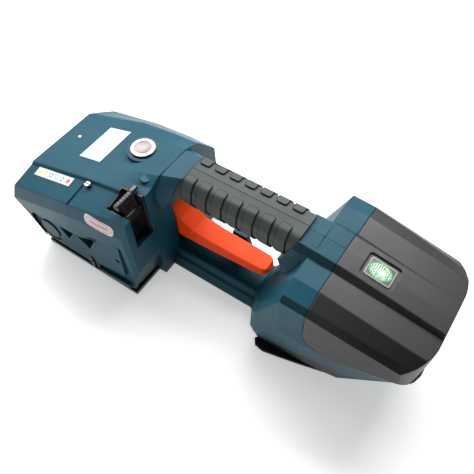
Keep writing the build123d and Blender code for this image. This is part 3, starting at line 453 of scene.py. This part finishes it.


# painted shade in the groove round each grip pad
paint(LOOKS["grip"], [(pad_outline, (0.004, 0.005, 0.0045))])
# painted shade in the recesses of the teal shell, also carried by its copies for the pod and
# hood
shade(LOOKS["teal"], crevice)
# painted shade on the pack facets that lean to the strap side
shade(LOOKS["pack"], steep)
# painted shade on the strap-side pack facets, deeper towards the battery end
shade(LOOKS["pack"], rearward)
shade(LOOKS["orange"], damped)

pod_look = copy_look("teal", "teal_pod")
# painted shade on the leaning pod facets at the battery end
shade(pod_look, pod_steep)
paint(pod_look, [(stern_band, (0.006, 0.006, 0.0065))])
dress("frame_near", pod_look)
dress("frame_far", pod_look)
dress("head_hood", paint(copy_look("teal", "teal_hood"), [(chin_rim, (0.008, 0.008, 0.0085))]))

# ------------------------------------------------------------------ printed labels
# icon strip: a row of plain dots, some with a pale middle
DOT_FIRST, DOT_PITCH, DOT_Y = 0.3388, 0.0076, 0.0524
DOT_RADIUS = 0.0022
YELLOW, BLUE = (0.80, 0.62, 0.12), (0.05, 0.26, 0.50)
CYAN, RED = (0.12, 0.45, 0.55), (0.60, 0.09, 0.07)
DOT_INKS = (YELLOW, YELLOW, BLUE, CYAN, BLUE, RED)
PALE_MIDDLES = (2, 3, 4)


def dot(index, radius):
    return oval((DOT_FIRST - index * DOT_PITCH, DOT_Y), (radius, radius))


def icon_strip():
    marks = [(dot(i, DOT_RADIUS), colour) for i, colour in enumerate(DOT_INKS)]
    marks += [(dot(i, DOT_RADIUS / 2), (0.75, 0.76, 0.77)) for i in PALE_MIDDLES]
    return paint(copy_look("label", "icon_strip"), marks)


# oval sticker: pale film, thin ring and a row of plain dashes
STICKER_MIDDLE = (0.2490, 0.0955)  # x, z
DASH_ROW = (0.0942, 0.0966)        # z range
DASH_SPAN = (at(0.2395), at(0.2585))
DASH_PITCH = 0.0022
DASH = (-0.00078, 0.00072)         # one dash within its pitch


def dashes(g, x, y, z):
    row = g.band(z, *DASH_ROW)
    cut = g.band(g.wrap(x, DASH_PITCH / 2), *DASH, soft=0.0001)
    return g.times(row, cut, g.band(x, *DASH_SPAN))


def oval_sticker():
    ring = oval(STICKER_MIDDLE, (0.0141, 0.0043), soft=0.05, upright=True)
    film = oval(STICKER_MIDDLE, (0.0134, 0.0037), soft=0.05, upright=True)
    return paint(copy_look("label", "oval_sticker"), [
        (ring, (0.52, 0.15, 0.14)),
        (film, (0.66, 0.58, 0.57)),
        (dashes, (0.50, 0.09, 0.08))])


# badge: dark film with a thin pale frame, green oval crossed by pale strokes
BADGE_X, BADGE_Y = 0.0383, -0.0002
BADGE_HALF = (0.0100, 0.0077)      # outside of the frame
FRAME_WIDTH = 0.0005


def everywhere(g, x, y, z):
    return g.math("ADD", 1.0, 0.0)


def badge_frame(g, x, y, z):
    def rectangle(inset):
        half_x, half_y = (half - inset for half in BADGE_HALF)
        return g.times(g.band(x, at(BADGE_X) - half_x, at(BADGE_X) + half_x),
                       g.band(y, BADGE_Y - half_y, BADGE_Y + half_y))
    return g.math("SUBTRACT", rectangle(0.0), rectangle(FRAME_WIDTH), clamp=True)


def badge_strokes(g, x, y, z):
    waves = g.node("TexWave", {
        "Scale": 190.0, "Distortion": 6.0, "Detail": 2.0, "Detail Scale": 3.0,
        "Vector": g.coords()}).outputs["Fac"]
    within = oval((BADGE_X, BADGE_Y), (0.0080, 0.0060), soft=0.10)
    return g.times(g.ramp(waves, start=0.62, end=0.80), within(g, x, y, z))


def badge_print():
    field = oval((BADGE_X, BADGE_Y), (0.0088, 0.0069))
    pale_spot = oval((BADGE_X - 0.0010, BADGE_Y), (0.0030, 0.0022), soft=0.2)
    return paint(copy_look("green", "badge_print"), [
        (everywhere, (0.012, 0.014, 0.013)),
        (badge_frame, (0.34, 0.36, 0.34)),
        (field, (0.012, 0.30, 0.075)),
        (badge_strokes, (0.62, 0.70, 0.60)),
        (pale_spot, (0.66, 0.74, 0.66))])


def lens():
    """Small bright lens with a darker rim."""
    bright = oval((0.3347, 0.0043), (0.0013, 0.0013))
    return paint(copy_look("label", "lens"), [
        (lambda g, x, y, z: g.invert(bright(g, x, y, z)), (0.25, 0.28, 0.30))])


# x, y of the dark specks on the name plate
SPECKS = ((0.3080, -0.0120), (0.3040, -0.0130), (0.2980, -0.0110), (0.3000, -0.0020),
          (0.2915, -0.0125))


def plate_film():
    return paint(copy_look("label", "plate_film"), [
        (oval(middle, (0.0010, 0.0007)), (0.20, 0.20, 0.21)) for middle in SPECKS])


for node_name, make_look in (("icon_label", icon_strip), ("oval_label", oval_sticker),
                             ("battery_badge", badge_print), ("status_lens", lens),
                             ("name_plate", plate_film)):
    dress(node_name, make_look())


# ------------------------------------------------------------------ springs and wiring
def tube(name, path, radius, sides, material):
    """Round wire swept along a list of points."""
    bm = bmesh.new()
    rings = []
    last = len(path) - 1
    normal = None
    for i, point in enumerate(path):
        tangent = (path[min(i + 1, last)] - path[max(i - 1, 0)]).normalized()
        if normal is None:
            normal = tangent.orthogonal().normalized()
        normal = (normal - tangent * normal.dot(tangent)).normalized()
        side = tangent.cross(normal)
        angles = (2 * math.pi * k / sides for k in range(sides))
        rings.append([
            bm.verts.new(point + (normal * math.cos(a) + side * math.sin(a)) * radius)
            for a in angles])
    for ring, following in zip(rings, rings[1:]):
        for k in range(sides):
            after = (k + 1) % sides
            bm.faces.new((ring[k], ring[after], following[after], following[k]))
    bm.faces.new(list(reversed(rings[0])))
    bm.faces.new(rings[-1])
    mesh = bpy.data.meshes.new(name)
    bm.normal_update()
    bm.to_mesh(mesh)
    bm.free()
    for face in mesh.polygons:
        face.use_smooth = True
    mesh.materials.append(material)
    piece = bpy.data.objects.new(name, mesh)
    bpy.context.scene.collection.objects.link(piece)
    return piece


COIL_GAP = 0.00005         # clearance inside the box of the CAD piece
COIL_STEPS = 20            # points per turn
END_RISE = 0.35            # slope of the closed end turns against an even rise


def coil_rise(t, turns):
    """Share of the height reached at share t of the wire."""
    end = 1.0 / turns
    if t < end:
        return t * END_RISE
    if t > 1 - end:
        return 1 - (1 - t) * END_RISE
    return END_RISE * end + (t - end) * (1 - 2 * END_RISE * end) / (1 - 2 * end)


def coil(name, node, axis, wire, turns, body, joint, fixed_low, keep):
    """Compression spring with closed ends, in the box of the CAD node it stands for."""
    low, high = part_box(node)
    middle = (low + high) / 2
    along = "xyz".index(axis)
    first, second = [i for i in range(3) if i != along]
    width = min(high[first] - low[first], high[second] - low[second])
    radius = width / 2 - wire - COIL_GAP
    length = high[along] - low[along] - 2 * wire - 2 * COIL_GAP
    steps = turns * COIL_STEPS
    path = []
    for i in range(steps + 1):
        t = i / steps
        angle = 2 * math.pi * (t * turns)
        point = Vector((0, 0, 0))
        point[first] = middle[first] + radius * math.cos(angle)
        point[second] = middle[second] + radius * math.sin(angle)
        point[along] = low[along] + wire + COIL_GAP + coil_rise(t, turns) * length
        path.append(point)
    piece = tube(name, path, radius=wire, sides=8, material=spring_look)
    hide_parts(node)
    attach(piece, body)
    anchor = list(middle)
    anchor[along] = low[along] if fixed_low else high[along]
    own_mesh(piece)


spring_look = surface("spring_wire", (0.30, 0.30, 0.31), rough=0.28, metallic=1.0, vary=0.1,
                      grain=900.0, bump=0.05, wear=0.1, dust=0.05)

# name, CAD node, axis, wire radius, turns, body, joint, fixed at the low end, keep
COILS = (
    ("trigger_coil", "trigger_spring", "z", 0.00045, 11, "body", "trigger_hinge", True, 0.86),
    ("button_coil", "button_spring", "z", 0.00042, 5, "body", "button_press", True, 0.74),
    ("cutter_coil", "cutter_spring", "z", 0.00035, 6, "body", "cutter_slide", True, 0.78),
    ("latch_coil", "latch_spring", "y", 0.00035, 6, "battery", "latch_press", False, 0.70),
)
for row in COILS:
    coil(*row)

# four sheathed leads twisted along the handle: name, start angle, slot, colour
LEADS = (
    ("lead_a", 0.0, "orange", (0.45, 0.02, 0.01)),
    ("lead_b", 1.6, "black", (0.008, 0.008, 0.008)),
    ("lead_c", 3.1, "cellwrap", (0.02, 0.06, 0.30)),
    ("lead_d", 4.7, "black", (0.25, 0.22, 0.02)),
)
LEAD_RADIUS = 0.00115
LEAD_ORBIT = 0.00165       # from the middle of the loom to the middle of a lead
LEAD_TWIST = 5.0           # radians over the whole length
LEAD_INSET = 0.0002        # kept free at each end
LEAD_STEPS = 60


def lead(name, phase, slot, colour):
    low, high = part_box("wiring_loom")
    middle = (low + high) / 2
    sheath = surface(name + "_sheath", colour, rough=0.38, vary=0.06, grain=900.0, bump=0.04,
                     wear=0.1, dust=0.05, specular=0.4)
    path = []
    for i in range(LEAD_STEPS + 1):
        t = i / LEAD_STEPS
        angle = phase + t * LEAD_TWIST
        path.append(Vector((low.x + LEAD_INSET + t * (high.x - low.x - 2 * LEAD_INSET),
                            middle.y + LEAD_ORBIT * math.cos(angle),
                            middle.z + LEAD_ORBIT * math.sin(angle))))
    piece = tube(name, path, radius=LEAD_RADIUS, sides=10, material=sheath)
    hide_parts("wiring_loom")
    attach(piece, "body")


for row in LEADS:
    lead(*row)


# ------------------------------------------------------------------ floor, light, camera
FLOOR_HALF = 6.0
FLOOR_Z = -0.00005         # just under the tool


def add_floor():
    material, g = new_material("studio_floor")
    clouding = g.noise(g.coords(), scale=3.0, detail=3.0, rough=0.5)
    g.fill(g.shader, {
        "Base Color": g.mix(clouding, (0.90, 0.90, 0.90, 1), (0.94, 0.94, 0.94, 1)),
        "Roughness": 0.75,
        "Emission Color": WHITE,
        "Emission Strength": 0.36})
    corners = [(x * FLOOR_HALF, y * FLOOR_HALF, 0)
               for x, y in ((-1, -1), (1, -1), (1, 1), (-1, 1))]
    mesh = bpy.data.meshes.new("studio_floor")
    mesh.from_pydata(corners, [], [(0, 1, 2, 3)])
    mesh.materials.append(material)
    floor = bpy.data.objects.new("studio_floor", mesh)
    bpy.context.scene.collection.objects.link(floor)
    floor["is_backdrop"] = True
    floor.location.z = FLOOR_Z


def add_panel(name, place, target, size, power):
    light = bpy.data.lights.new(name, "AREA")
    light.shape = "RECTANGLE"
    light.size, light.size_y = size
    light.energy = power
    panel = bpy.data.objects.new(name, light)
    panel.location = place
    aim = Vector(target) - Vector(place)
    panel.rotation_euler = aim.to_track_quat("-Z", "Y").to_euler()
    bpy.context.scene.collection.objects.link(panel)
    panel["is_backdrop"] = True


def add_world():
    scene = bpy.context.scene
    world = bpy.data.worlds.new("studio")
    world.use_nodes = True
    background = world.node_tree.nodes["Background"]
    background.inputs["Color"].default_value = WHITE
    background.inputs["Strength"].default_value = 0.13
    scene.world = world
    scene.view_settings.view_transform = "Standard"
    scene.view_settings.look = "None"
    scene.view_settings.exposure = 0.15


def add_camera():
    """Camera above the strap side, looking down across the tool."""
    place = (-ORIGIN_X, 0.2202, 0.4433)
    right = Vector((-0.8266, -0.5623, -0.0293)).normalized()
    up = Vector((0.4433, -0.6820, 0.5815))
    up = (up - right * up.dot(right)).normalized()
    back = right.cross(up)
    lens_data = bpy.data.cameras.new("camera")
    lens_data.sensor_width = 36.0
    lens_data.lens = 41.24
    lens_data.clip_start = 0.01
    camera = bpy.data.objects.new("camera", lens_data)
    rows = [(right[i], up[i], back[i], place[i]) for i in range(3)]
    camera.matrix_world = Matrix(rows + [(0, 0, 0, 1)])
    bpy.context.scene.collection.objects.link(camera)
    bpy.context.scene.camera = camera


add_floor()
# a large panel over the far side, one beyond the head, a weak one beyond the strap side
add_panel("sky_panel", place=(0.15, -0.75, 1.05), target=(-0.05, 0.0, 0.04),
          size=(1.5, 0.8), power=30.0)
add_panel("front_panel", place=(0.95, -0.25, 0.85), target=(0.0, 0.0, 0.05),
          size=(0.8, 0.8), power=8.0)
add_panel("near_low", place=(0.1, 1.3, 0.9), target=(0.0, 0.0, 0.05),
          size=(1.2, 0.5), power=3.0)
add_world()
add_camera()

SIZE["at_finish"] = plain(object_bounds())
